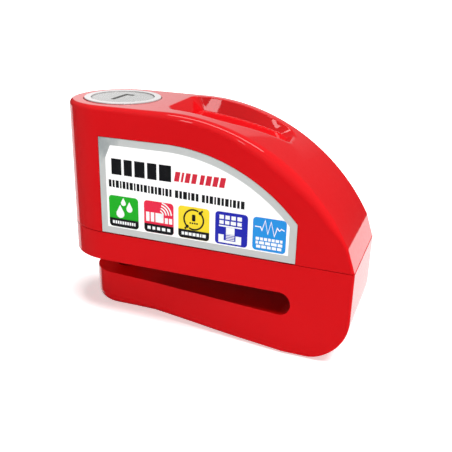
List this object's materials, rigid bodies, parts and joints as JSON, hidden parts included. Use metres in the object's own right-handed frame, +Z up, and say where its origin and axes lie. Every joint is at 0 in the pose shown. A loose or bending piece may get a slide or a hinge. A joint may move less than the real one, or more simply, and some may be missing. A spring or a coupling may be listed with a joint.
{
  "type": "alarm disc brake lock",
  "caption": "Motorcycle disc lock with a red cast body, a slot for the brake disc, a push-down lock barrel that drives a pin across the slot, and a siren inside.",
  "frame": {"origin": "centre of the flat base, on the surface the lock stands on", "axes": "+X from the lock barrel end to the closed, arched end; +Y from the label face to the back; +Z up, along the barrel and its pin"},
  "size_m": [0.0878, 0.03, 0.0633],
  "materials": {
    "red_paint": "gloss red paint over a casting",
    "polished_steel": "bright plated ring",
    "brushed_steel": "fine brushed face",
    "hardened_pin": "ground hardened steel",
    "plain_steel": "zinc-plated steel",
    "spring_steel": "spring wire",
    "brass": "plain brass",
    "black_rubber": "matt black",
    "label": "printed foil plate with a silver border",
    "black_plastic": "moulded, matt",
    "membrane": "fine water-shedding mesh",
    "green_board": "lacquered circuit board",
    "aluminium_can": "drawn can",
    "cell_can": "nickel-plated can",
    "glass": "clear glass tube"
  },
  "bodies": {
    "housing": {"upper_housing": "red_paint", "lower_body": "red_paint", "housing_gasket": "black_rubber", "front_label": "label", "barrel_seal": "black_rubber", "return_spring": "spring_steel", "spring_seat": "plain_steel", "pin_bush": "plain_steel", "housing_screw_1": "plain_steel", "housing_screw_2": "plain_steel", "housing_screw_3": "plain_steel", "siren_cup": "black_plastic", "piezo_disc": "brass", "siren_membrane": "membrane", "circuit_board": "green_board", "boost_coil": "black_plastic", "capacitor": "aluminium_can", "control_chip": "black_plastic", "shock_sensor": "aluminium_can", "reed_switch": "glass", "battery_holder": "black_plastic", "battery_link_plate": "plain_steel", "battery_contact_front": "brass", "battery_contact_rear": "brass", "battery_cell_front_1": "cell_can", "battery_cell_front_2": "cell_can", "battery_cell_front_3": "cell_can", "battery_cell_rear_1": "cell_can", "battery_cell_rear_2": "cell_can", "battery_cell_rear_3": "cell_can"},
    "barrel": {"barrel": "polished_steel", "locking_pin": "hardened_pin", "pin_cross_dowel": "plain_steel", "plug_retaining_pin": "plain_steel", "barrel_magnet": "plain_steel"},
    "plug": {"plug": "brushed_steel", "lock_cam": "plain_steel", "wafer_1": "brass", "wafer_2": "brass", "wafer_3": "brass", "wafer_4": "brass", "wafer_5": "brass"}
  },
  "joints": [
    {"name": "barrel_slide", "type": "slide", "parent": "housing", "child": "barrel", "axis": [0, 0, 1], "range_m": [0, 0.013], "deforming": ["return_spring"]},
    {"name": "plug_turn", "type": "hinge", "parent": "barrel", "child": "plug", "pos_m": [-0.02885, 0, 0.055], "axis": [0, 0, 1], "range_deg": [-90, 0]}
  ]
}
